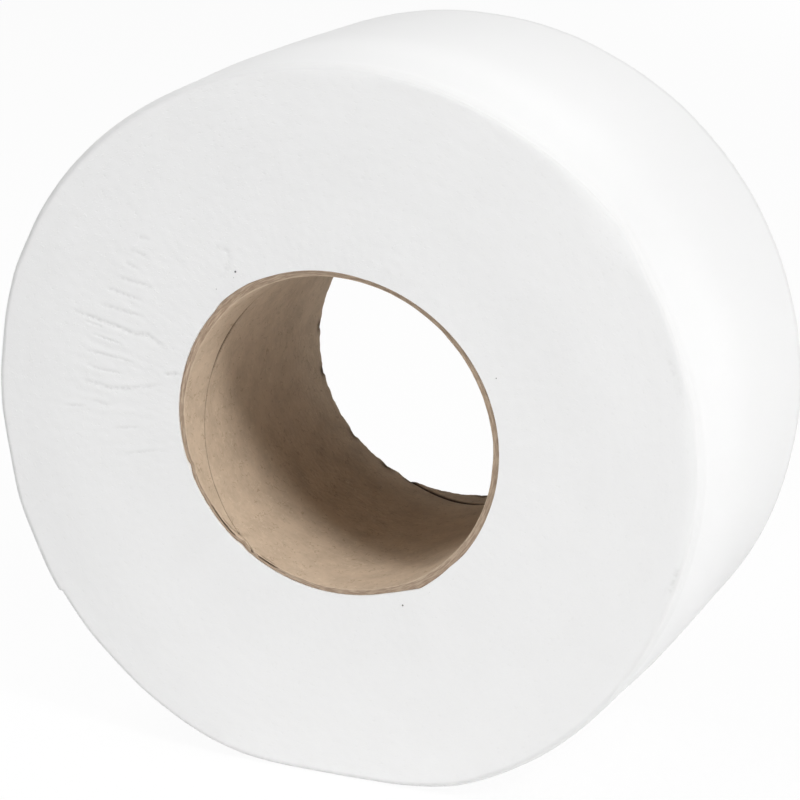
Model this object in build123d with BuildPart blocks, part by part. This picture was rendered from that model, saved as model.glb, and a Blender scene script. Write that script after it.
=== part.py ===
from build123d import *
import math
import os

os.makedirs("parts", exist_ok=True)

# Sizes of the roll, in millimetres and degrees. The roll lies on its round side, +Y along its axis.
roll_diameter = 195.0
roll_width = 85.0
core_bore = 84.0
core_wall = 1.6
core_recess = 0.5
settle = 3.2
flat_width = 26.0
edge_slope = 2.4
edge_drop = 0.9

# The turns that show on both ends of the wound paper
turns_shown = 8
turn_step = 0.6
turn_margin = 2.5

# The loose end of the paper, on the lower left side
tail_angle = 214.0
tail_run = 24.0
tail_step = 0.5

# The spiral joint of the card's inner ply, which meets the near end at an angle clockwise from the top
seam_pitch = 75.0
seam_width = 0.6
seam_depth = 0.5
seam_angle = 214.0

roll_radius = roll_diameter / 2
core_radius = core_bore / 2 + core_wall
core_length = roll_width - 2 * core_recess
seam_lead = seam_pitch * seam_angle / 360
axis_height = roll_radius - settle
half_flat = flat_width / 2
end_plane = Plane(origin=(0, 0, axis_height), x_dir=(1, 0, 0), z_dir=(0, -1, 0))

# The bend between the flat spot and the round side touches both without a corner
bend_radius = (roll_radius**2 - half_flat**2 - axis_height**2) / (2 * settle)
bend_height = bend_radius - axis_height
bend_angle = math.degrees(math.atan2(bend_height, half_flat))


def polar(radius, angle):
    """Return the point of an end view at a radius and an angle from the right-hand side."""
    return (radius * math.cos(math.radians(angle)), radius * math.sin(math.radians(angle)))


# Wound paper: the settled outline with the core's hole, extruded both ways from the middle
with BuildPart() as wound_paper:
    with BuildSketch(end_plane):
        with BuildLine():
            Line((-half_flat, -axis_height), (half_flat, -axis_height))
            CenterArc((half_flat, bend_height), bend_radius, -90, 90 + bend_angle)
            CenterArc((0, 0), roll_radius, bend_angle, 180 - 2 * bend_angle)
            CenterArc((-half_flat, bend_height), bend_radius, 180 - bend_angle, 90 + bend_angle)
        make_face()
        Circle(core_radius, mode=Mode.SUBTRACT)
    extrude(amount=roll_width / 2, both=True)

    # The soft outer edges of both ends fall away in two slopes
    for order in (0, -1):
        end = wound_paper.faces().sort_by(Axis.Y)[order]
        chamfer(end.outer_wire().edges(), length=edge_slope, length2=edge_drop, reference=end)
    rings = wound_paper.edges().filter_by(Plane.XZ).filter_by(lambda edge: not edge.is_closed)
    levels = rings.group_by(Axis.Y)
    chamfer(levels[1] + levels[-2], length=edge_drop)

    # The loose end stands one step proud of the turn below it
    with BuildSketch(end_plane):
        with BuildLine():
            lip = Line(polar(roll_radius + 2, tail_angle), polar(roll_radius - tail_step, tail_angle))
            fade = ThreePointArc(
                lip @ 1,
                polar(roll_radius - tail_step / 2, tail_angle + tail_run / 2),
                polar(roll_radius + tail_step / 8, tail_angle + tail_run),
            )
            Polyline(fade @ 1, polar(roll_radius + 4, tail_angle + tail_run / 2), lip @ 0)
        make_face()
    extrude(amount=roll_width, both=True, mode=Mode.SUBTRACT)

    # The turns: each end is one spiral furrow, made of half turns about two centres
    first_turn = core_radius + turn_margin
    last_turn = axis_height - edge_slope - turn_margin
    pitch = (last_turn - first_turn) / turns_shown
    for side in (-1, 1):
        for centre_x, turn in ((0, -1), (pitch / 2, 1)):
            inner = first_turn if turn == -1 else first_turn + pitch
            with BuildSketch(Plane.XY.offset(axis_height)):
                with Locations([(inner + count * pitch, side * roll_width / 2) for count in range(turns_shown)]):
                    Polygon(
                        (0, 0),
                        (turn_step, -side * turn_step),
                        (pitch, 0),
                        (pitch, side * turn_step),
                        (0, side * turn_step),
                        align=None,
                    )
            revolve(
                axis=Axis((centre_x, 0, axis_height), (0, turn, 0)),
                revolution_arc=180,
                mode=Mode.SUBTRACT,
            )

wound_paper.part.label = "wound_paper"
export_step(wound_paper.part, "parts/wound_paper.step")

# Core: the card tube inside the paper, with the open spiral joint of its inner ply
with BuildPart() as core_tube:
    with BuildSketch(end_plane):
        Circle(core_radius)
        Circle(core_bore / 2, mode=Mode.SUBTRACT)
    extrude(amount=core_length / 2, both=True)
    with BuildLine():
        seam = Helix(
            seam_pitch,
            seam_lead + core_length + seam_pitch / 8,
            core_bore / 2,
            center=(0, -core_length / 2 - seam_lead, axis_height),
            direction=(0, 1, 0),
        )
    with BuildSketch(Plane(origin=seam @ 0, x_dir=(0, 0, 1), z_dir=seam % 0)):
        Rectangle(2 * seam_depth, seam_width)
    sweep(is_frenet=True, mode=Mode.SUBTRACT)

core_tube.part.label = "core_tube"
export_step(core_tube.part, "parts/core_tube.step")
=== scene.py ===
"""A soft paper roll on a card core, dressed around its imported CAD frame."""

import logging
import math
from dataclasses import dataclass
from enum import Enum

import bpy
import numpy as np
from mathutils import Matrix, Vector, noise


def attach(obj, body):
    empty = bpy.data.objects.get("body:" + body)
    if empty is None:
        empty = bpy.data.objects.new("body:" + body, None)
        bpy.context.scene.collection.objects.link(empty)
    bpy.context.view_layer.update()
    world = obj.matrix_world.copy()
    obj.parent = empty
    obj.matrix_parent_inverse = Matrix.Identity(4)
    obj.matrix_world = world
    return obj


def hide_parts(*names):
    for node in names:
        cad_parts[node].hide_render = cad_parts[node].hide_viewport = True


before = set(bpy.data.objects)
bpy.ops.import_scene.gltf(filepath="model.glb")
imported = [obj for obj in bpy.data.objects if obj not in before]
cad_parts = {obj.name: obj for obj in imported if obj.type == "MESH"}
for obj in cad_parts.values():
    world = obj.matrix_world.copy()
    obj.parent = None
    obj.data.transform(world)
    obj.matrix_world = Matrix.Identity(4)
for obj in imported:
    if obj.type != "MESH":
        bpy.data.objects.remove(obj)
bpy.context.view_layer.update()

MM = 0.001
FULL_TURN = 2 * math.pi
IMAGE_SIDE = 800
LOG = logging.getLogger("paper_roll")

Row = np.ndarray
Socket = bpy.types.NodeSocket
Colour = tuple[float, float, float, float]
RoundTable = tuple[tuple[float, float], ...]
Turn = tuple[Socket, Socket]

WHITE: Colour = (1.0, 1.0, 1.0, 1.0)
MIX_FIRST, MIX_SECOND, MIX_RESULT = 6, 7, 2


class Node(Enum):
    """The solids that the dressed pieces stand for."""

    PAPER = "wound_paper"
    CORE = "core_tube"


class Slot(Enum):
    """The record's material slots."""

    TISSUE = "tissue"
    CARD = "kraft_card"


def wrap_degrees(angle: Row, centre: float) -> Row:
    """Give each angle as degrees past a centre, from -180 to 180.

    Args:
        angle: Angles in degrees.
        centre: The angle that becomes zero.

    Returns:
        The signed differences in degrees.
    """
    return (angle - centre + 180.0) % 360.0 - 180.0


def bump(offset: Row, width: float) -> Row:
    """Give a smooth hill that is 1 in the middle and falls away within a width.

    Args:
        offset: Distances from the middle.
        width: The distance at which the hill is down to about a third.

    Returns:
        The height at each distance.
    """
    return np.exp(-((offset / width) ** 2))


def ease(value: Row, low: float, high: float) -> Row:
    """Give a smooth step from 0 at low to 1 at high.

    Args:
        value: The values to step over.
        low: Where the step starts.
        high: Where the step ends.

    Returns:
        The step at each value.
    """
    part = np.clip((value - low) / (high - low), 0.0, 1.0)
    return part * part * (3.0 - 2.0 * part)


def grain(a: Row, b: Row, c: Row) -> Row:
    """Give repeatable soft noise at points.

    Returns:
        Noise from about -1 to 1 at each point.
    """
    points = np.stack([a, b, c], axis=1).tolist()
    return np.array([noise.noise(point) for point in points])


@dataclass(frozen=True)
class Settling:
    """How the soft roll has sunk onto the floor and spread sideways.

    Angles run from the right-hand side, anticlockwise as seen from the near end.
    """

    axis_height: float = 94.3 * MM
    round_radius: float = 98.0 * MM
    sink: float = 3.0 * MM
    half_flat: float = 13.0 * MM
    outer_spread: float = 0.00737
    core_radius: float = 43.82 * MM
    core_spread: float = 0.0203
    core_shift: float = 0.33 * MM

    def outline(self, angle: Row) -> Row:
        """Give the radius of the round side with its flat spot, before it spreads.

        Args:
            angle: Angles in radians.

        Returns:
            The radius at each angle.
        """
        depth = self.round_radius - self.sink
        bend = (self.round_radius**2 - self.half_flat**2 - depth**2) / (2 * self.sink)
        off = np.abs(np.radians(wrap_degrees(np.degrees(angle), 270.0)))
        centre_x, centre_z = self.half_flat, bend - depth
        along = centre_x * np.sin(off) - centre_z * np.cos(off)
        root = np.sqrt(np.maximum(along**2 - centre_x**2 - centre_z**2 + bend**2, 0.0))
        radius = np.full_like(off, self.round_radius)
        radius = np.where(off < math.atan2(centre_x, -centre_z), along + root, radius)
        flat = off < math.atan2(self.half_flat, depth)
        return np.where(flat, depth / np.maximum(np.cos(off), 0.1), radius)

    def place(self, part: Row, angle: Row, lift: Row) -> tuple[Row, Row]:
        """Give the settled place of points in an end view.

        Args:
            part: How far each point is from the core's outside (0) to the round side (1).
            angle: Angles in radians.
            lift: Extra distance outwards, in metres.

        Returns:
            The X and Z of each point in the row frame.
        """
        radius = self.core_radius + part * (self.outline(angle) - self.core_radius) + lift
        share = np.clip(part, 0.0, 1.0)
        spread = self.core_spread + share * (self.outer_spread - self.core_spread)
        shift = self.core_shift * (1.0 - share)
        x = radius * np.cos(angle) * (1.0 + spread) + shift
        z = radius * np.sin(angle) * (1.0 - spread) + self.axis_height
        return x, z


@dataclass(frozen=True)
class Stroke:
    """One thin line through points, each an angle in degrees and a length in millimetres."""

    points: tuple[tuple[float, float], ...]
    depth: float
    width: float = 0.4

    def on_face(self, angle: Row, radius: Row) -> Row:
        """Give the line's strength on an end face, where its lengths are radii.

        Args:
            angle: Angles in radians.
            radius: Radii in millimetres.

        Returns:
            The strength, up to the line's depth.
        """
        corners = [(r * math.cos(math.radians(a)), r * math.sin(math.radians(a))) for a, r in self.points]
        return self.trace(np.stack([radius * np.cos(angle), radius * np.sin(angle)], axis=1), corners)

    def on_wall(self, degrees: Row, depth: Row, radius: float) -> Row:
        """Give the line's strength on a tube's wall, where its lengths are depths.

        Args:
            degrees: Angles in degrees.
            depth: Depths in millimetres.
            radius: The wall's radius in millimetres.

        Returns:
            The strength, up to the line's depth.
        """
        corners = [(math.radians(a) * radius, d) for a, d in self.points]
        return self.trace(np.stack([np.radians(degrees) * radius, depth], axis=1), corners)

    def trace(self, place: Row, corners: list[tuple[float, float]]) -> Row:
        """Give the line's strength at places of a flat drawing.

        Args:
            place: Two lengths for each place, in millimetres.
            corners: The line's points in the same drawing.

        Returns:
            The strength, which tapers to both ends.
        """
        bends = np.array(corners)
        legs = np.diff(bends, axis=0)
        lengths = np.linalg.norm(legs, axis=1)
        starts = np.concatenate([[0.0], np.cumsum(lengths)])
        best = np.full(len(place), np.inf)
        along = np.zeros(len(place))
        for bend, leg, length, start in zip(bends, legs, lengths, starts):
            rel = place - bend
            share = np.clip(rel @ leg / length**2, 0.0, 1.0)
            gap = np.linalg.norm(rel - share[:, None] * leg, axis=1)
            along = np.where(gap < best, (start + share * length) / starts[-1], along)
            best = np.minimum(gap, best)
        taper = np.clip(np.sin(math.pi * along) * 1.6, 0.0, 1.0)
        return self.depth * taper * bump(best, self.width)


# The thin folds of the near end, as points of angle and radius, then depth and width
FACE_FOLDS: tuple[Stroke, ...] = (
    Stroke(
        ((161.0, 79.0), (160.5, 70.5), (160.0, 65.0), (159.5, 59.5), (158.0, 56.0), (159.5, 49.5)),
        0.14,
        0.6,
    ),
    Stroke(((174.5, 73.0), (175.5, 63.0), (174.0, 56.5), (170.5, 48.5)), 0.12, 0.6),
    Stroke(((149.5, 70.5), (145.5, 59.5)), 0.10, 0.5),
    Stroke(((153.0, 71.5), (150.5, 60.5)), 0.10, 0.5),
    Stroke(((157.0, 71.0), (154.0, 58.5)), 0.10, 0.5),
    Stroke(((162.0, 74.0), (161.5, 67.5)), 0.09),
    Stroke(((164.0, 71.0), (163.5, 61.0)), 0.09),
    Stroke(((168.0, 71.5), (167.5, 64.0), (167.0, 57.0)), 0.10),
    Stroke(((171.0, 71.5), (171.5, 67.5), (171.0, 60.5)), 0.09),
    Stroke(((179.0, 68.5), (180.0, 63.0)), 0.08),
    Stroke(((181.0, 77.0), (180.5, 70.5)), 0.08),
    Stroke(((185.5, 62.5), (185.0, 55.0)), 0.08),
    Stroke(((192.0, 61.0), (192.0, 50.5)), 0.06),
    Stroke(((142.5, 71.0), (140.5, 66.0)), 0.10),
    Stroke(((145.5, 70.0), (144.5, 66.0)), 0.09),
    Stroke(((139.5, 72.5), (137.0, 68.5)), 0.09),
    Stroke(((167.5, 48.5), (165.0, 44.5)), 0.20, 0.5),
    Stroke(
        ((126.5, 56.5), (124.0, 56.5), (122.0, 54.5), (123.0, 52.0), (125.5, 50.5), (129.5, 49.5)),
        0.09,
        0.5,
    ),
    Stroke(((346.5, 93.3), (344.5, 93.6), (342.5, 93.5), (341.0, 93.1)), 0.14, 0.6),
    Stroke(((20.5, 91.5), (17.5, 91.8), (15.0, 92.0), (12.0, 92.3)), 0.07, 0.7),
)

# The splits of the card's inner ply, as points of angle and depth, then strength and width
CORE_SPLITS: tuple[Stroke, ...] = (
    Stroke(((220.0, 0.5), (225.0, 0.8), (230.5, 1.8)), 0.9, 0.22),
    Stroke(((227.5, 1.2), (229.5, 2.6), (230.5, 4.4), (230.5, 6.8)), 0.7, 0.18),
    Stroke(((229.0, 1.4), (231.5, 3.2)), 0.7, 0.18),
    Stroke(((239.0, 0.5), (243.0, 0.7), (247.0, 0.4)), 0.8, 0.22),
)

# How far the card's near rim is pressed out, as angles in degrees and sizes in millimetres
RIM_FLARE: RoundTable = (
    (0.0, 0.3), (20.0, 0.15), (40.0, 0.0), (60.0, -0.2), (80.0, -0.3), (100.0, 0.2), (112.0, 0.5),
    (122.0, 1.0), (134.0, 1.1), (138.0, 0.6), (160.0, 0.2), (180.0, 0.0), (200.0, -0.3),
    (225.0, -0.3), (260.0, -0.1), (288.0, 0.0), (295.0, 0.5), (301.0, 1.4), (308.0, 1.0),
    (315.0, 0.6), (322.0, 0.8), (340.0, 0.45),
)

# How far the round side is drawn in at the near edge, in the same way
EDGE_TAPER: RoundTable = (
    (0.0, 2.0), (20.0, 2.7), (30.0, 2.4), (39.0, 1.2), (49.0, 1.9), (59.0, 2.7), (70.0, 2.6),
    (95.0, 2.4), (125.0, 0.8), (150.0, 0.0), (250.0, 0.0), (290.0, 0.0), (305.0, 0.4), (332.0, 1.9),
)

# How large the near edge's rounding is
EDGE_ROUND: RoundTable = (
    (0.0, 1.0), (20.0, 0.7), (35.0, 0.6), (60.0, 0.6), (95.0, 0.7), (125.0, 1.2), (150.0, 1.8),
    (185.0, 1.8), (214.0, 1.2), (250.0, 0.9), (270.0, 0.8), (290.0, 1.0), (332.0, 1.0),
)

# Over what run the near face falls back to its edge
EDGE_FALL: RoundTable = (
    (0.0, 3.6), (6.0, 4.0), (10.0, 5.0), (14.0, 2.0), (20.0, 1.8), (27.0, 1.6), (31.0, 2.0),
    (35.0, 5.0), (40.0, 8.0), (45.0, 5.0), (50.0, 2.6), (57.0, 2.0), (65.0, 2.0), (72.0, 1.0),
    (80.0, 1.0), (85.0, 3.4), (90.0, 3.2), (96.0, 1.2), (120.0, 0.5), (300.0, 0.5), (340.0, 0.8),
    (348.0, 2.4), (355.0, 3.6),
)

# How far the round side stands out from its settled outline
ROUND_SWELL: RoundTable = (
    (0.0, 0.8), (30.0, 1.2), (50.0, 1.4), (65.0, 1.0), (85.0, 0.1), (110.0, -0.6), (125.0, -0.3),
    (140.0, 0.6), (155.0, 1.0), (180.0, 0.5), (200.0, 0.9), (225.0, 0.8), (248.0, 0.6),
    (260.0, 0.0), (280.0, 0.0), (290.0, 0.4), (305.0, 0.1), (325.0, 0.2), (345.0, 0.4),
)


def read_round(table: RoundTable, degrees: Row) -> Row:
    """Read a table of sizes that runs round the roll.

    Args:
        table: Pairs of an angle in degrees and a size in millimetres.
        degrees: The angles to read at.

    Returns:
        The size in metres at each angle.
    """
    knots, sizes = np.array(table).T
    return np.interp(degrees % 360.0, knots, sizes, period=360.0) * MM


@dataclass(frozen=True)
class Ripple:
    """One kind of unevenness of an end face, made of soft noise."""

    height: float
    around: float
    across: float
    shift: float = 0.0

    def rise(self, angle: Row, length: Row, side: Row) -> Row:
        """Give the unevenness at points of an end face.

        Args:
            angle: Angles in radians.
            length: Distances from the core in metres.
            side: Which end each point is on, -1 for the near one and 1 for the far one.

        Returns:
            Heights in metres.
        """
        place = length / self.across + self.shift * side
        return self.height * grain(self.around * np.cos(angle), self.around * np.sin(angle), place)


class Lathe:
    """Turns a closed section into a ring."""

    @staticmethod
    def deselect() -> None:
        """Leave nothing selected."""
        bpy.ops.object.select_all(action="DESELECT")

    @classmethod
    def turn(cls, name: str, section: list[tuple[float, float]], steps: int) -> bpy.types.Object:
        """Spin a section about the Y axis into a closed ring.

        Args:
            name: The new piece's name.
            section: Points of the closed section, as radius and Y.
            steps: How many steps make the full turn.

        Returns:
            The ring, about the Y axis through the origin.
        """
        cls.deselect()
        bpy.ops.mesh.primitive_circle_add(vertices=len(section), radius=section[0][0])
        piece = bpy.context.object
        piece.name = name
        piece.data.name = name
        corners = [value for radius, y in section for value in (radius, y, 0.0)]
        piece.data.vertices.foreach_set("co", corners)
        screw = piece.modifiers.new("turn", "SCREW")
        screw.axis, screw.angle = "Y", FULL_TURN
        screw.steps = screw.render_steps = steps
        screw.use_merge_vertices = True
        screw.merge_threshold = 0.002 * MM
        bpy.ops.object.modifier_apply(modifier=screw.name)
        bpy.ops.object.mode_set(mode="EDIT")
        bpy.ops.mesh.select_all(action="SELECT")
        bpy.ops.mesh.normals_make_consistent(inside=False)
        bpy.ops.object.mode_set(mode="OBJECT")
        return piece

    @staticmethod
    def read(piece: bpy.types.Object) -> tuple[Row, Row, Row]:
        """Read a ring's points as radius, angle and Y.

        Args:
            piece: A ring about the Y axis.

        Returns:
            The radius, the angle in radians from 0 to a full turn, and Y of each point.
        """
        flat = np.zeros(len(piece.data.vertices) * 3)
        piece.data.vertices.foreach_get("co", flat)
        x, y, z = flat.reshape(-1, 3).T
        return np.hypot(x, z), np.arctan2(z, x) % FULL_TURN, y

    @staticmethod
    def write(piece: bpy.types.Object, x: Row, y: Row, z: Row) -> None:
        """Move a piece's points."""
        piece.data.vertices.foreach_set("co", np.stack([x, y, z], axis=1).ravel())
        piece.data.update()

    @classmethod
    def smooth(cls, piece: bpy.types.Object, corner: float) -> None:
        """Shade a piece smooth, apart from its corners.

        Args:
            piece: The piece to shade.
            corner: The angle in degrees from which an edge stays sharp.
        """
        cls.deselect()
        piece.select_set(True)
        bpy.context.view_layer.objects.active = piece
        bpy.ops.object.shade_smooth_by_angle(angle=math.radians(corner))

    @staticmethod
    def mark(piece: bpy.types.Object, name: str, values: Row) -> None:
        """Store a number on each point for the piece's material."""
        layer = piece.data.attributes.new(name, "FLOAT", "POINT")
        layer.data.foreach_set("value", values.astype(np.float32))


class Graph:
    """Builds the nodes of one material."""

    def __init__(self, name: str) -> None:
        """Start an empty material with an output node.

        Args:
            name: The material's name.
        """
        self.material = bpy.data.materials.new(name)
        self.material.use_nodes = True
        self.nodes = self.material.node_tree.nodes
        self.nodes.clear()
        self.output = self.nodes.new("ShaderNodeOutputMaterial")

    def add(self, kind: str, **settings: object) -> bpy.types.Node:
        """Add a node and set its properties."""
        node = self.nodes.new(kind)
        for key, value in settings.items():
            setattr(node, key, value)
        return node

    def feed(self, target: Socket, source: Socket | float | tuple) -> None:
        """Link a socket to a target, or set the target's own value."""
        if isinstance(source, bpy.types.NodeSocket):
            self.material.node_tree.links.new(source, target)
        else:
            target.default_value = source

    def math(self, operation: str, *values: Socket | float) -> Socket:
        """Add a Math node."""
        node = self.add("ShaderNodeMath", operation=operation)
        for target, value in zip(node.inputs, values):
            self.feed(target, value)
        return node.outputs[0]

    def join(self, x: Socket | float, y: Socket | float, z: Socket | float) -> Socket:
        """Combine three numbers into a vector."""
        node = self.add("ShaderNodeCombineXYZ")
        for target, value in zip(node.inputs, (x, y, z)):
            self.feed(target, value)
        return node.outputs[0]

    def noise(self, vector: Socket, scale: float, detail: float = 2.0, rough: float = 0.5) -> Socket:
        """Add a Noise Texture.

        Args:
            vector: Where the noise is read.
            scale: How fine the noise is.
            detail: How many octaves it has.
            rough: How strong the finer octaves are.

        Returns:
            The noise's height, from 0 to 1.
        """
        node = self.add("ShaderNodeTexNoise")
        self.feed(node.inputs["Vector"], vector)
        node.inputs["Scale"].default_value = scale
        node.inputs["Detail"].default_value = detail
        node.inputs["Roughness"].default_value = rough
        return node.outputs["Fac"]

    def span(
        self, value: Socket, low: float, high: float, first: float = 0.0, last: float = 1.0
    ) -> Socket:
        """Map a range of a value to another range, with a smooth start and end.

        Args:
            value: The value to map.
            low: The value that becomes first.
            high: The value that becomes last.
            first: The result at low.
            last: The result at high.

        Returns:
            The mapped value.
        """
        node = self.add("ShaderNodeMapRange", interpolation_type="SMOOTHSTEP", clamp=True)
        for target, number in zip(node.inputs, (value, low, high, first, last)):
            self.feed(target, number)
        return node.outputs["Result"]

    def mix(self, share: Socket, first: Socket | tuple, second: Socket | tuple) -> Socket:
        """Mix two colours."""
        node = self.add("ShaderNodeMix", data_type="RGBA")
        self.feed(node.inputs["Factor"], share)
        self.feed(node.inputs[MIX_FIRST], first)
        self.feed(node.inputs[MIX_SECOND], second)
        return node.outputs[MIX_RESULT]

    def attribute(self, name: str) -> Socket:
        """Read a number stored on the piece's points."""
        return self.add("ShaderNodeAttribute", attribute_name=name).outputs["Fac"]

    def around(self, axis_height: float) -> tuple[Turn, Socket, Socket]:
        """Read where a point is about the roll's axis.

        Args:
            axis_height: Height of the axis in metres.

        Returns:
            The cosine and sine of the angle, then the radius and Y in metres.
        """
        place = self.add("ShaderNodeTexCoord").outputs["Object"]
        parts = self.add("ShaderNodeSeparateXYZ")
        self.feed(parts.inputs[0], place)
        x, y = parts.outputs[0], parts.outputs[1]
        z = self.math("SUBTRACT", parts.outputs[2], axis_height)
        squares = self.math("ADD", self.math("MULTIPLY", x, x), self.math("MULTIPLY", z, z))
        radius = self.math("SQRT", squares)
        return (self.math("DIVIDE", x, radius), self.math("DIVIDE", z, radius)), radius, y

    def rings(
        self, turn: Turn, across: Socket, around: float, fine: float, detail: float, rough: float = 0.5
    ) -> Socket:
        """Add noise that runs round the roll with no join.

        Args:
            turn: Cosine and sine of the angle.
            across: The length across the pattern, in metres.
            around: How fine the pattern is round the roll.
            fine: How fine the pattern is across, per metre.
            detail: How many octaves it has.
            rough: How strong the finer octaves are.

        Returns:
            The noise's height, from 0 to 1.
        """
        cosine, sine = (self.math("MULTIPLY", part, around) for part in turn)
        place = self.join(cosine, sine, self.math("MULTIPLY", across, fine))
        return self.noise(place, 1.0, detail, rough)

    def finish(
        self, colour: Socket, height: Socket, depth: float, rough: float, shine: float
    ) -> bpy.types.Material:
        """Close the graph with a matt surface and its bump.

        Args:
            colour: The surface colour.
            height: The bump's height, from 0 to 1.
            depth: The height that 1 stands for, in metres.
            rough: The surface's roughness.
            shine: The surface's specular level.

        Returns:
            The finished material.
        """
        relief = self.add("ShaderNodeBump")
        self.feed(relief.inputs["Height"], height)
        relief.inputs["Distance"].default_value = depth
        surface = self.add("ShaderNodeBsdfPrincipled")
        self.feed(surface.inputs["Base Color"], colour)
        self.feed(surface.inputs["Normal"], relief.outputs[0])
        surface.inputs["Roughness"].default_value = rough
        surface.inputs["Specular IOR Level"].default_value = shine
        self.feed(self.output.inputs["Surface"], surface.outputs[0])
        return self.material


@dataclass(frozen=True)
class TissueFinish:
    """Soft white tissue: fuzzy cut edges on the ends, crepe on the round side, painted shade in its pits,
    folds and rounded edges.
    """

    name: str = "white_tissue"
    clean: Colour = (0.91, 0.91, 0.908, 1.0)
    # Painted shade for the pits of the cut ends, also used for a faint random mottle
    shade: Colour = (0.865, 0.865, 0.862, 1.0)
    # Painted shade in the thin folds of the near end
    crease_shade: Colour = (0.72, 0.72, 0.715, 1.0)
    # The rounded corners' tone: partly the fuzzy paper edge's own grey, partly painted shade that keeps the
    # rounding no brighter than the side
    frayed: Colour = (0.79, 0.79, 0.787, 1.0)
    speck: Colour = (0.03, 0.03, 0.03, 1.0)
    specks: tuple[tuple[float, float, float], ...] = (
        (-27.1, 40.2, 0.30),
        (44.3, 20.2, 0.30),
        (19.4, -43.1, 0.30),
        (26.9, -38.4, 0.22),
        (-27.6, 38.6, 0.15),
        (23.1, -40.5, 0.18),
        (33.3, -33.9, 0.15),
        (-32.6, 35.1, 0.15),
    )
    speck_y: float = -42.5 * MM
    relief: float = 0.035 * MM
    rough: float = 0.95
    shine: float = 0.15

    def make(self, axis_height: float) -> bpy.types.Material:
        """Build the tissue's material."""
        graph = Graph(self.name)
        turn, radius, y = graph.around(axis_height)
        end = graph.attribute("end_face")
        fleck = graph.rings(turn, radius, 70.0, 1300.0, 2.0)
        fuzz = graph.rings(turn, radius, 120.0, 2600.0, 2.0, 0.6)
        spots, pits = graph.span(fleck, 0.58, 0.80), graph.span(fleck, 0.42, 0.20)
        cut = graph.math("ADD", graph.math("SUBTRACT", spots, pits), graph.math("MULTIPLY", fuzz, 0.20))
        cut = graph.math("MULTIPLY", cut, graph.span(graph.attribute("worn"), 0.0, 1.0, 0.6, 1.2))
        crepe = graph.rings(turn, y, 150.0, 90.0, 2.0, 0.6)
        side = graph.math("SUBTRACT", 1.0, end)
        side = graph.math("MULTIPLY", side, graph.math("MULTIPLY", crepe, 0.5))
        height = graph.math("ADD", graph.math("MULTIPLY", end, cut), side)
        cloud = graph.rings(turn, radius, 5.0, 70.0, 3.0, 0.6)
        # Painted shade in the pits, plus a faint random mottle
        tone = graph.math("ADD", graph.math("MULTIPLY", pits, 0.5), graph.span(cloud, 0.35, 0.70, 0.0, 0.2))
        colour = graph.mix(graph.math("MULTIPLY", tone, end), self.clean, self.shade)
        # Painted shade on the rounded corners of the ends, with the fuzzy edge's own greyer tone
        colour = graph.mix(graph.attribute("corner"), colour, self.frayed)
        place = graph.add("ShaderNodeTexCoord").outputs["Object"]
        # Painted shade in the folds of the near end, broken into fine dots
        dots = graph.span(graph.noise(place, 1100.0, 1.0), 0.40, 0.62, 0.35, 1.3)
        colour = graph.mix(graph.math("MULTIPLY", graph.attribute("fold"), dots), colour, self.crease_shade)
        colour = graph.mix(self.spotted(graph, axis_height), colour, self.speck)
        return graph.finish(colour, height, self.relief, self.rough, self.shine)

    def spotted(self, graph: Graph, axis_height: float) -> Socket:
        """Give where the few dark specks lie on the near end.

        Returns:
            A number that is 1 on a speck.
        """
        place = graph.add("ShaderNodeTexCoord").outputs["Object"]
        total: Socket | float = 0.0
        for x, z, size in self.specks:
            away = graph.add("ShaderNodeVectorMath", operation="DISTANCE")
            graph.feed(away.inputs[0], place)
            graph.feed(away.inputs[1], (x * MM, self.speck_y, z * MM + axis_height))
            dot = graph.span(away.outputs["Value"], 0.8 * size * MM, 1.2 * size * MM, 0.9, 0.0)
            total = graph.math("MAXIMUM", total, dot)
        return total


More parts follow.
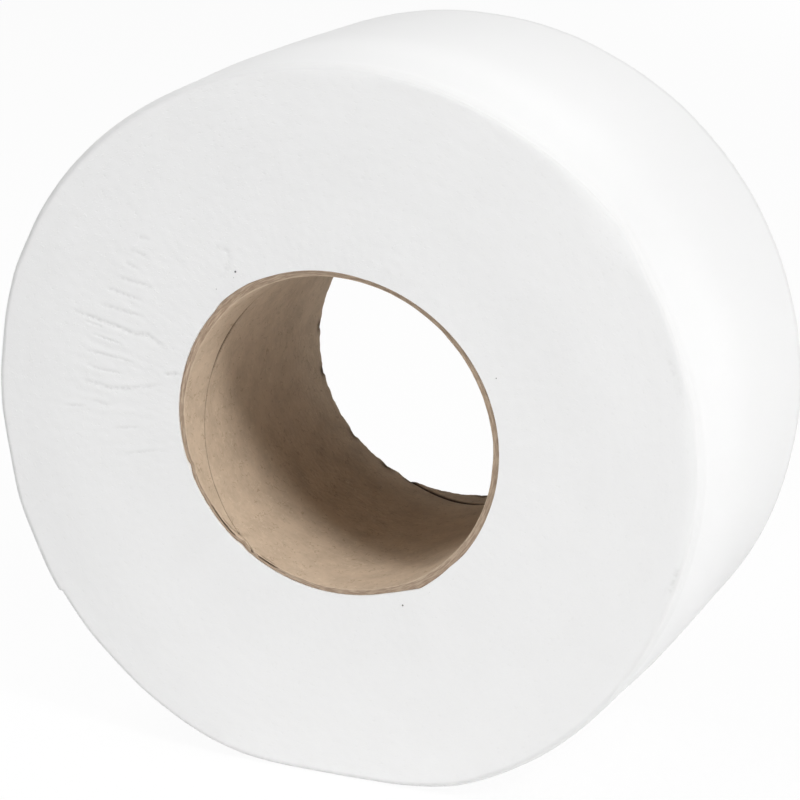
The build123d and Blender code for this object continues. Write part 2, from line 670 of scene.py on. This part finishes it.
@dataclass(frozen=True)
class KraftFinish:
    """Brown kraft card with loose fibres, darker where it is cut, with painted shade in its open joint,
    splits, partings and far-rim notches.
    """

    name: str = "kraft_card"
    pale: Colour = (0.63, 0.498, 0.371, 1.0)
    deep: Colour = (0.51, 0.40, 0.295, 1.0)
    cut: Colour = (0.51, 0.395, 0.295, 1.0)
    cut_deep: Colour = (0.35, 0.26, 0.19, 1.0)
    hair_pale: Colour = (0.72, 0.60, 0.46, 1.0)
    hair_deep: Colour = (0.33, 0.235, 0.155, 1.0)
    # Near-black painted shade for the open joint, splits, partings and far-rim notches, also used to darken
    # the torn strip
    gap: Colour = (0.04, 0.02, 0.01, 1.0)
    relief: float = 0.15 * MM
    rough: float = 0.85
    shine: float = 0.12

    def make(self, axis_height: float) -> bpy.types.Material:
        """Build the card's material."""
        graph = Graph(self.name)
        turn, radius, y = graph.around(axis_height)
        cloud = graph.rings(turn, y, 5.0, 120.0, 3.0, 0.6)
        fibre = graph.rings(turn, y, 26.0, 800.0, 2.0, 0.6)
        fleck = graph.rings(turn, y, 30.0, 700.0, 1.0)
        tone = graph.math("ADD", graph.math("MULTIPLY", cloud, 0.7), graph.math("MULTIPLY", fibre, 0.3))
        tone = graph.math("SUBTRACT", tone, graph.span(fleck, 0.70, 0.78, 0.0, 0.20))
        tone = graph.math("ADD", tone, graph.span(fleck, 0.30, 0.22, 0.0, 0.08))
        colour = graph.mix(graph.span(tone, 0.28, 0.66), self.deep, self.pale)
        for hair, around, fine in ((self.hair_deep, 21.0, 520.0), (self.hair_pale, 27.0, 610.0)):
            colour = graph.mix(self.hairs(graph, turn, y, around, fine), colour, hair)
        strand = graph.rings(turn, radius, 15.0, 3400.0, 2.0)
        edge = graph.mix(graph.span(strand, 0.34, 0.66), self.cut_deep, self.cut)
        edge = graph.mix(graph.span(graph.attribute("ply"), 0.84, 0.96, 0.0, 0.7), edge, self.pale)
        colour = graph.mix(graph.attribute("rim"), colour, edge)
        # The seam mask carries painted shade in the gaps and notches, and the darker torn strip
        colour = graph.mix(graph.attribute("seam"), colour, self.gap)
        return graph.finish(colour, fibre, self.relief, self.rough, self.shine)

    @staticmethod
    def hairs(graph: Graph, turn: Turn, y: Socket, around: float, fine: float) -> Socket:
        """Give where short loose fibres lie in the card.

        Args:
            graph: The material's nodes.
            turn: Cosine and sine of the angle.
            y: Y in metres.
            around: How fine the fibres are round the core.
            fine: How fine the fibres are along the core, per metre.

        Returns:
            A number that is highest on a fibre.
        """
        bends = graph.rings(turn, y, around, fine, 1.0)
        line = graph.span(graph.math("ABSOLUTE", graph.math("SUBTRACT", bends, 0.5)), 0.035, 0.012)
        broken = graph.rings(turn, y, 0.8 * around, 0.8 * fine, 0.0)
        return graph.math("MULTIPLY", line, graph.span(broken, 0.56, 0.66, 0.0, 0.45))


@dataclass
class WoundPaper:
    """The wound tissue: a thick soft ring with fuzzy cut ends and a loose end.

    In its methods part runs from 0 at the core to 1 at the round side, angles are in radians,
    lengths are in metres, and edge is the distance from the end face's edge.
    """

    settling: Settling
    finish: TissueFinish
    half_width: float = 42.5 * MM
    section_radius: float = 97.5 * MM
    bore_radius: float = 43.6 * MM
    edge: float = 3.0 * MM
    edge_run: float = 5.5 * MM
    edge_bow: tuple[float, float] = (2.5 * MM, 3.2 * MM)
    edge_slope: float = 0.1
    fall_reach: float = 8.0 * MM
    far_taper: float = 0.4 * MM
    far_round: float = 1.0 * MM
    taper_run: float = 34.0 * MM
    creased_side: float = 168.0
    turns: Ripple = Ripple(0.02 * MM, 0.6, 2.2 * MM, 7.0)
    waves: Ripple = Ripple(0.4 * MM, 1.2, 25.0 * MM, 11.0)
    fuzz: Ripple = Ripple(0.05 * MM, 34.0, 1.6 * MM, 3.0)
    puckers: Ripple = Ripple(0.11 * MM, 30.0, 9.0 * MM)
    pucker_spread: float = 24.0
    pucker_place: float = 22.0 * MM
    pucker_reach: float = 9.0 * MM
    fold_full: float = 0.3 * MM
    worn_side: float = 150.0
    worn_spread: float = 50.0
    lump_height: float = 0.25 * MM
    gather: float = 0.6
    steps: int = 720
    near_rows: int = 60
    far_rows: int = 26
    edge_rows: int = 9
    side_rows: int = 22
    tail_angle: float = 214.0
    tail_run: float = 24.0
    tail_step: float = 0.5 * MM
    tail_lip: float = 0.05
    curl_height: float = 0.5 * MM
    curl_run: float = 7.0
    corner_angle: float = 60.0

    def section(self) -> list[tuple[float, float]]:
        """Give the closed section of the ring.

        Returns:
            Points as radius and Y, from the near end's bore outwards and back along the far end.
        """
        flat = self.section_radius - self.edge
        inner = self.half_width - self.edge_run
        over = np.linspace(0.0, 1.0, self.edge_rows + 1)[1:] ** 1.3
        middle, last = 2 * over * (1 - over), over**2
        out = flat + middle * self.edge_bow[0] + last * self.edge
        back = middle * self.edge_bow[1] + last * self.edge_run
        near_face = np.linspace(self.bore_radius, flat, self.near_rows)
        far_face = np.linspace(flat, self.bore_radius, self.far_rows)
        points = [(float(radius), -self.half_width) for radius in near_face]
        points += list(zip(out.tolist(), (back - self.half_width).tolist()))
        points += [(self.section_radius, float(y)) for y in np.linspace(-inner, inner, self.side_rows)[1:]]
        points += list(zip(out[-2::-1].tolist(), (self.half_width - back[-2::-1]).tolist()))
        points += [(float(radius), self.half_width) for radius in far_face]
        points.append((self.bore_radius, 0.0))
        return points

    def build(self) -> bpy.types.Object:
        """Turn the section and settle it."""
        piece = Lathe.turn("wound_tissue", self.section(), self.steps)
        radius, angle, y = Lathe.read(piece)
        off = np.radians(wrap_degrees(np.degrees(angle), self.creased_side))
        angle = math.radians(self.creased_side) + off - self.gather * np.sin(off)
        end = ease(np.abs(y), self.half_width - 1.2 * MM, self.half_width - 0.1 * MM)
        flat = self.section_radius - self.edge
        # Where the edges of the ends are rounded, for the painted shade on them
        corner = ease(radius, flat - 1.0 * MM, flat + 0.3 * MM)
        corner = corner * ease(self.half_width - np.abs(y), 1.8 * self.edge_run, 0.5 * self.edge_run)
        moved, squeeze = self.inset(radius, angle, y)
        part = (moved - self.bore_radius) / (self.section_radius - self.bore_radius)
        back = self.half_width - np.abs(y)
        calm = ease(back, self.edge_run, 3.0 * self.edge_run)
        y = np.sign(y) * (self.half_width - back * (squeeze + (1.0 - squeeze) * calm))
        x, z = self.settling.place(part, angle, self.lift(part, angle, y))
        along = np.sign(y) * end * self.relief(part, angle, y) + self.fall(angle, y, flat - radius)
        Lathe.write(piece, x, y + along, z)
        Lathe.mark(piece, "end_face", end)
        Lathe.mark(piece, "corner", corner)
        Lathe.mark(piece, "worn", bump(wrap_degrees(np.degrees(angle), self.worn_side), self.worn_spread))
        # The folds' depth, stored for the painted shade in them
        Lathe.mark(piece, "fold", np.clip(self.folds(part, angle, y) / self.fold_full, 0.0, 1.0))
        Lathe.smooth(piece, self.corner_angle)
        return piece

    def inset(self, radius: Row, angle: Row, y: Row) -> tuple[Row, Row]:
        """Round the edges and draw the round side in towards them.

        Returns:
            The moved radii in metres, and the edge's size against its plain one.
        """
        degrees = np.degrees(angle) % 360.0
        near = y < 0
        drawn = np.where(near, read_round(EDGE_TAPER, degrees), self.far_taper)
        rounded = np.where(near, read_round(EDGE_ROUND, degrees), self.far_round)
        uneven = grain(9.0 * np.cos(angle), 9.0 * np.sin(angle), np.sign(y) * 5.5)
        rounded = rounded * (1.0 + 0.25 * uneven)
        flat = self.section_radius - self.edge
        rim = self.section_radius - drawn - rounded
        bore = self.bore_radius + np.where(near, read_round(RIM_FLARE, degrees), 0.0)
        face = bore + (radius - self.bore_radius) * (rim - bore) / (flat - self.bore_radius)
        share = ease(self.half_width - np.abs(y), self.taper_run, 0.0)
        side = self.section_radius - drawn * share - (self.section_radius - radius) * rounded / self.edge
        return np.where(radius < flat, face, side), rounded / self.edge

    def lift(self, part: Row, angle: Row, y: Row) -> Row:
        """Give how far points stand out from the settled shape, in an end view.

        Returns:
            Distances outwards in metres.
        """
        outer = ease(part, 0.9, 1.0)
        swell = read_round(ROUND_SWELL, np.degrees(angle)) * part
        lumps = self.lump_height * grain(3.0 * np.cos(angle), 3.0 * np.sin(angle), y / (40.0 * MM))
        past = wrap_degrees(np.degrees(angle), self.tail_angle)
        fade = np.clip(1.0 - past / self.tail_run, 0.0, 1.0)
        under = np.where(past > self.tail_lip, -self.tail_step * fade, 0.0)
        curl = self.curl_height * np.where(past <= self.tail_lip, ease(past, -self.curl_run, 0.0), 0.0)
        curl = curl * (0.6 + 0.8 * grain(y / (14.0 * MM), np.zeros_like(y), np.full_like(y, 4.2)))
        return swell + outer * (lumps + under + curl)

    def relief(self, part: Row, angle: Row, y: Row) -> Row:
        """Give how far the end faces stand out along the axis.

        Returns:
            Distances outwards along the axis, in metres.
        """
        length = part * (self.section_radius - self.bore_radius)
        side = np.sign(y)
        uneven = sum(ripple.rise(angle, length, side) for ripple in (self.turns, self.waves, self.fuzz))
        creased = bump(wrap_degrees(np.degrees(angle), self.creased_side), self.pucker_spread)
        creased = creased * bump(length - self.pucker_place, self.pucker_reach) * (side < 0)
        return uneven + creased * self.puckers.rise(angle, length, side) - self.folds(part, angle, y)

    def fall(self, angle: Row, y: Row, edge: Row) -> Row:
        """Give how far the near face falls back towards its edge.

        Returns:
            Distances along Y in metres.
        """
        run = read_round(EDGE_FALL, np.degrees(angle))
        drop = self.edge_slope * np.clip(run - np.maximum(edge, 0.0), 0.0, None) ** 2 / run
        return drop * ease(y, self.fall_reach - self.half_width, -self.half_width)

    def folds(self, part: Row, angle: Row, y: Row) -> Row:
        """Give how deep the thin folds of the near end are.

        Returns:
            Depths in metres.
        """
        radius = self.bore_radius + part * (self.section_radius - self.bore_radius)
        depth = np.zeros_like(radius)
        near = y < 0.5 * MM - self.half_width
        for fold in FACE_FOLDS:
            depth[near] = np.maximum(depth[near], fold.on_face(angle[near], radius[near] / MM) * MM)
        return depth

    def dress(self, piece: bpy.types.Object) -> None:
        """Give the piece its finish and its place in the frame."""
        piece.data.materials.append(self.finish.make(self.settling.axis_height))
        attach(piece, "root")
        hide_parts(Node.PAPER.value)


@dataclass
class CardCore:
    """The card tube, with the open spiral joint of its inner ply.

    In its methods ply runs from 0 at the wall's outside to 1 at its inside, depth is the distance
    from the near rim in metres, and off is the angle from the joint in radians.
    """

    settling: Settling
    finish: KraftFinish
    half_length: float = 42.0 * MM
    outer_radius: float = 43.6 * MM
    wall: float = 1.55 * MM
    steps: int = 400
    gather: float = 0.8
    rows: int = 100
    rim_rows: int = 18
    rim_zone: float = 4.5 * MM
    plies: int = 4
    seam_angle: float = 236.5
    seam_turn: float = 4.78 / MM
    seam_slack: float = 0.0075 / MM**2
    seam_width: float = 0.18 * MM
    seam_depth: float = 0.5 * MM
    seam_shut: tuple[float, float] = (21.0 * MM, 69.0 * MM)
    seam_gape: tuple[float, float] = (18.0 * MM, 3.2 * MM)
    seam_end: tuple[float, float] = (66.0 * MM, 76.0 * MM)
    soft_edge: float = 0.15 * MM
    split_reach: float = 9.0 * MM
    split_side: tuple[float, float] = (210.0, 256.0)
    rim_dents: tuple[float, ...] = (199.0, 232.0)
    corner_angle: float = 50.0
    split_depth: float = 0.3 * MM
    wall_wave: float = 0.12 * MM
    least_wall: float = 0.02 * MM
    flare_run: float = 5.0 * MM
    dent_depth: float = 0.8 * MM
    dent_spread: float = 1.8
    parting_depth: float = 1.4 * MM
    ply_rough: float = 0.18 * MM
    ply_step: float = 1.3 * MM
    notch_depth: float = 1.1 * MM
    fray_depth: float = 0.45 * MM
    fine_fray: float = 0.3 * MM
    torn_side: float = 288.0
    torn_spread: float = 26.0
    torn_run: tuple[float, float] = (70.0 * MM, 79.0 * MM)
    notch_spread: float = 1.6
    # How wide the notches' painted shade is, and over what depth it comes in
    notch_shade_spread: float = 2.2
    notch_shade_run: tuple[float, float] = (80.0 * MM, 83.0 * MM)
    step_side: float = 136.0
    step_spread: float = 22.0
    partings: RoundTable = ((221.5, 6.0), (243.0, 3.5))
    far_notches: tuple[float, ...] = (174.5, 193.0, 221.0, 239.0, 250.5, 281.0)

    def section(self) -> list[tuple[float, float]]:
        """Give the closed section of the tube.

        Returns:
            Points as radius and Y, along the inside from the near rim and back along the outside.
        """
        inner = self.outer_radius - self.wall
        soft = self.soft_edge
        first = soft - self.half_length
        near = np.linspace(first, first + self.rim_zone, self.rim_rows)[:-1]
        rest = np.linspace(first + self.rim_zone, -first, self.rows)
        along = np.concatenate([near, rest])
        points = [(inner, float(y)) for y in along]
        rim = np.linspace(inner + soft, self.outer_radius - soft, 3 * self.plies)
        points += [(float(radius), self.half_length) for radius in rim]
        points += [(self.outer_radius, float(y)) for y in np.linspace(-first, first, self.rows // 2)]
        points += [(float(radius), -self.half_length) for radius in rim[::-1]]
        return points

    def build(self) -> bpy.types.Object:
        """Turn the section, twist it along the joint and settle it."""
        piece = Lathe.turn("card_core", self.section(), self.steps)
        radius, angle, y = Lathe.read(piece)
        off = np.radians(wrap_degrees(np.degrees(angle), 0.0))
        off = off - self.gather * np.sin(off)
        depth = y + self.half_length
        spiral = self.seam_turn * depth - self.seam_slack * depth**2
        degrees = (self.seam_angle + np.degrees(off) - spiral) % 360.0
        angle = np.radians(degrees)
        ply = (self.outer_radius - radius) / self.wall
        inside = ease(ply, 0.5, 0.95)
        seam = self.joint(off, depth) * inside
        first, last = self.seam_shut
        shown = ease(depth, first + 1.0 * MM, first - 1.0 * MM)
        shown = shown + ease(depth, last - 3.0 * MM, last + 3.0 * MM)
        split = self.splits(degrees, depth) * inside
        parted = self.parting(degrees, ply) * ease(depth, 0.4 * MM, 0.1 * MM)
        lift = radius - self.outer_radius
        lift = lift + seam * (0.05 + 0.95 * shown) * self.seam_depth + split * self.split_depth
        lift = lift + self.wall_wave * grain(6.0 * np.cos(angle), 6.0 * np.sin(angle), depth / (12.0 * MM))
        lift = np.minimum(lift, -self.least_wall * (radius < self.outer_radius))
        pressed = read_round(RIM_FLARE, degrees) * ease(depth, self.flare_run, 0.0)
        lift = lift + pressed * (1.0 - 0.75 * ply)
        x, z = self.settling.place(0.0 * radius, angle, lift)
        along = self.rims(ply, degrees, depth) + self.dents(degrees, depth)
        along = along + self.parting_depth * parted
        Lathe.write(piece, x, y + along, z)
        # Painted shade in the open joint, the splits and the partings, with the far rim's notch shade and
        # darker torn strip
        gap_shade_and_torn_dark = 0.95 * seam * shown + 0.8 * split + 0.9 * parted + self.notch_shade_and_torn_dark(degrees, depth)
        Lathe.mark(piece, "seam", np.clip(gap_shade_and_torn_dark, 0.0, 1.0))
        Lathe.mark(piece, "ply", ply)
        Lathe.mark(piece, "rim", ease(np.abs(y), self.half_length - 0.4 * MM, self.half_length - 0.05 * MM))
        Lathe.smooth(piece, self.corner_angle)
        return piece

    def joint(self, off: Row, depth: Row) -> Row:
        """Give where the spiral joint of the inner ply stands open.

        Returns:
            A number that is 1 in the joint.
        """
        slope = math.atan2(1.0, math.radians(self.seam_turn) * self.outer_radius)
        across = off * self.outer_radius * math.sin(slope)
        place, spread = self.seam_gape
        opened = 0.8 + 3.8 * bump(depth - place, spread) + 2.8 * ease(depth, *self.seam_end)
        return np.exp(-((across / (self.seam_width * opened)) ** 4))

    def splits(self, degrees: Row, depth: Row) -> Row:
        """Give the thin splits of the inner ply beside the near rim.

        Returns:
            A number that is 1 in a split.
        """
        first, last = self.split_side
        close = (depth < self.split_reach) & (degrees > first) & (degrees < last)
        strength = np.zeros_like(depth)
        for split in CORE_SPLITS:
            found = split.on_wall(degrees[close], depth[close] / MM, self.outer_radius / MM)
            strength[close] = np.maximum(strength[close], found)
        return strength

    def parting(self, degrees: Row, ply: Row) -> Row:
        """Give where the inner ply has come away from the others at the near rim.

        Returns:
            A number that is 1 in the gap.
        """
        band = ease(ply, 0.50, 0.60) * ease(ply, 0.85, 0.75)
        gaps = (np.exp(-((wrap_degrees(degrees, place) / half) ** 4)) for place, half in self.partings)
        return sum(gaps) * band

    def dents(self, degrees: Row, depth: Row) -> Row:
        """Give how far the near rim is pushed in where it is dented.

        Returns:
            Distances along Y in metres.
        """
        hills = sum(bump(wrap_degrees(degrees, place), self.dent_spread) for place in self.rim_dents)
        return self.dent_depth * hills * ease(depth, 3.0 * MM, 0.0)

    def notch_shade_and_torn_dark(self, degrees: Row, depth: Row) -> Row:
        """Give painted shade in the far rim's frayed notches, and where the torn strip is made darker.

        Returns:
            A number that is highest in a notch.
        """
        # Painted shade in the far rim's notches
        hills = sum(bump(wrap_degrees(degrees, place), self.notch_shade_spread) for place in self.far_notches)
        # Darker towards the far rim on the torn strip
        torn = 0.35 * bump(wrap_degrees(degrees, self.torn_side), self.torn_spread)
        torn = torn * ease(depth, *self.torn_run)
        return hills * ease(depth, *self.notch_shade_run) + torn

    def rims(self, ply: Row, degrees: Row, depth: Row) -> Row:
        """Give the unevenness of the cut rims along the axis.

        Returns:
            Distances along Y in metres.
        """
        angle = np.radians(degrees)
        cosine, sine = np.cos(angle), np.sin(angle)
        near, far = ease(depth, 2.5 * MM, 0.0), ease(depth, 80.5 * MM, 84.0 * MM)
        layer = np.floor(np.clip(ply, 0.0, 0.999) * self.plies)
        rough = self.ply_rough * grain(40.0 * cosine, 40.0 * sine, 3.7 * layer)
        uneven = 1.0 + 0.6 * grain(11.0 * cosine, 11.0 * sine, np.full_like(ply, 6.1))
        back = self.ply_step * ease(ply, 0.40, 0.62) * uneven
        back = back * bump(wrap_degrees(degrees, self.step_side), self.step_spread)
        notch = sum(bump(wrap_degrees(degrees, place), self.notch_spread) for place in self.far_notches)
        notch = self.notch_depth * notch
        frayed = self.fray_depth * (1.0 + grain(14.0 * cosine, 14.0 * sine, 3.3 + 2.0 * ply))
        frayed = frayed + self.fine_fray * grain(42.0 * cosine, 42.0 * sine, 8.3 + 2.0 * ply)
        return near * (rough + back) - far * (notch + frayed)

    def dress(self, piece: bpy.types.Object) -> None:
        """Give the piece its finish and its place in the frame."""
        piece.data.materials.append(self.finish.make(self.settling.axis_height))
        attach(piece, "root")
        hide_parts(Node.CORE.value)


@dataclass(frozen=True)
class SoftLamp:
    """One soft lamp, placed round the roll."""

    name: str
    azimuth: float
    elevation: float
    size: float
    power: float


@dataclass
class Studio:
    """The floor, lamps, surroundings and camera."""

    settling: Settling
    camera_azimuth: float = 23.442
    camera_elevation: float = 16.461
    camera_distance: float = 746.951 * MM
    focal_pixels: float = 2788.683
    centre_right: float = -0.516
    centre_down: float = -7.865
    sensor: float = 36.0
    floor_size: float = 8.0
    floor_colour: Colour = (0.97, 0.97, 0.97, 1.0)
    floor_glow: float = 0.95
    lamp_distance: float = 1.6
    lamps: tuple[SoftLamp, ...] = (
        SoftLamp("key_low", 61.0, 40.0, 0.32, 10.0),
        SoftLamp("key_high", 58.0, 55.0, 0.4, 2.7),
        SoftLamp("right_fill", 75.0, 12.0, 0.5, 4.2),
        SoftLamp("right_low", 95.0, 4.0, 0.6, 2.8),
        SoftLamp("front_fill", 0.0, 8.0, 0.5, 4.05),
        SoftLamp("top_fill", 0.0, 70.0, 0.5, 4.0),
        SoftLamp("left_high", -68.0, 55.0, 0.7, 5.4),
        SoftLamp("rear_high", -100.0, 60.0, 0.8, 5.4),
        SoftLamp("back_fill", 180.0, 0.0, 0.12, 5.0),
    )

    @staticmethod
    def direction(azimuth: float, elevation: float) -> Vector:
        """Give the way from the roll towards a place round it.

        Args:
            azimuth: Degrees round from the near end, towards the right-hand side.
            elevation: Degrees above the floor.

        Returns:
            A vector of length 1.
        """
        a, e = math.radians(azimuth), math.radians(elevation)
        return Vector((math.sin(a) * math.cos(e), -math.cos(a) * math.cos(e), math.sin(e)))

    def middle(self) -> Vector:
        """Give the middle of the roll's axis."""
        return Vector((0.0, 0.0, self.settling.axis_height))

    def aim(self) -> None:
        """Add the camera at the photograph's viewing angle."""
        lens = bpy.data.cameras.new("photo_camera")
        lens.sensor_width = self.sensor
        lens.lens = self.focal_pixels * self.sensor / IMAGE_SIDE
        lens.shift_x = -self.centre_right / IMAGE_SIDE
        lens.shift_y = self.centre_down / IMAGE_SIDE
        lens.clip_start, lens.clip_end = 0.01, 50.0
        camera = bpy.data.objects.new("photo_camera", lens)
        bpy.context.scene.collection.objects.link(camera)
        back = self.direction(self.camera_azimuth, self.camera_elevation)
        camera.location = self.middle() + back * self.camera_distance
        camera.rotation_mode = "QUATERNION"
        camera.rotation_quaternion = (-back).to_track_quat("-Z", "Y")
        bpy.context.scene.camera = camera

    def light(self) -> None:
        """Add the lamps and the plain surroundings."""
        for lamp in self.lamps:
            data = bpy.data.lights.new(lamp.name, "AREA")
            data.shape, data.size, data.energy = "DISK", lamp.size, lamp.power
            spot = bpy.data.objects.new(lamp.name, data)
            bpy.context.scene.collection.objects.link(spot)
            way = self.direction(lamp.azimuth, lamp.elevation)
            place = self.middle() + way * self.lamp_distance
            spot.matrix_world = Matrix.LocRotScale(place, (-way).to_track_quat("-Z", "Y"), None)
        world = bpy.data.worlds.new("plain_studio")
        bpy.context.scene.world = world
        world.use_nodes = True
        nodes, links = world.node_tree.nodes, world.node_tree.links
        nodes.clear()
        white = nodes.new("ShaderNodeBackground")
        white.inputs["Color"].default_value = WHITE
        links.new(self.seen_rays(nodes, links), white.inputs["Strength"])
        links.new(white.outputs[0], nodes.new("ShaderNodeOutputWorld").inputs["Surface"])

    @staticmethod
    def seen_rays(nodes: bpy.types.Nodes, links: bpy.types.NodeLinks) -> Socket:
        """Tell rays that show the background from rays that only carry light.

        Args:
            nodes: The nodes to add to.
            links: The links to add to.

        Returns:
            A number that is 1 for camera, glossy and transmission rays.
        """
        path = nodes.new("ShaderNodeLightPath")
        total = path.outputs["Is Camera Ray"]
        for name in ("Is Glossy Ray", "Is Transmission Ray"):
            most = nodes.new("ShaderNodeMath")
            most.operation = "MAXIMUM"
            links.new(total, most.inputs[0])
            links.new(path.outputs[name], most.inputs[1])
            total = most.outputs[0]
        return total

    def lay_floor(self) -> bpy.types.Object:
        """Add the pale floor, which keeps the roll's shadow."""
        Lathe.deselect()
        bpy.ops.mesh.primitive_plane_add(size=self.floor_size)
        floor = bpy.context.object
        floor.name = "studio_floor"
        graph = Graph("pale_floor")
        matt = graph.add("ShaderNodeBsdfDiffuse")
        matt.inputs["Color"].default_value = self.floor_colour
        glow = graph.add("ShaderNodeEmission")
        glow.inputs["Color"].default_value = WHITE
        seen = self.seen_rays(graph.nodes, graph.material.node_tree.links)
        pick = graph.add("ShaderNodeMixShader")
        graph.feed(pick.inputs[0], graph.math("MULTIPLY", seen, self.floor_glow))
        graph.feed(pick.inputs[1], matt.outputs[0])
        graph.feed(pick.inputs[2], glow.outputs[0])
        graph.feed(graph.output.inputs["Surface"], pick.outputs[0])
        floor.data.materials.append(graph.material)
        return floor


def main() -> None:
    """Build the roll's pieces in order, then the studio."""
    logging.basicConfig(level=logging.INFO, format="%(name)s: %(message)s")
    bpy.context.scene.view_settings.view_transform = "Standard"
    settling = Settling()
    for maker in (WoundPaper(settling, TissueFinish()), CardCore(settling, KraftFinish())):
        piece = maker.build()
        maker.dress(piece)
        LOG.info("%s has %d faces", piece.name, len(piece.data.polygons))
    studio = Studio(settling)
    floor = studio.lay_floor()
    studio.light()
    studio.aim()
    LOG.info("%s and %d lamps are in place", floor.name, len(studio.lamps))


if __name__ == "__main__":
    main()
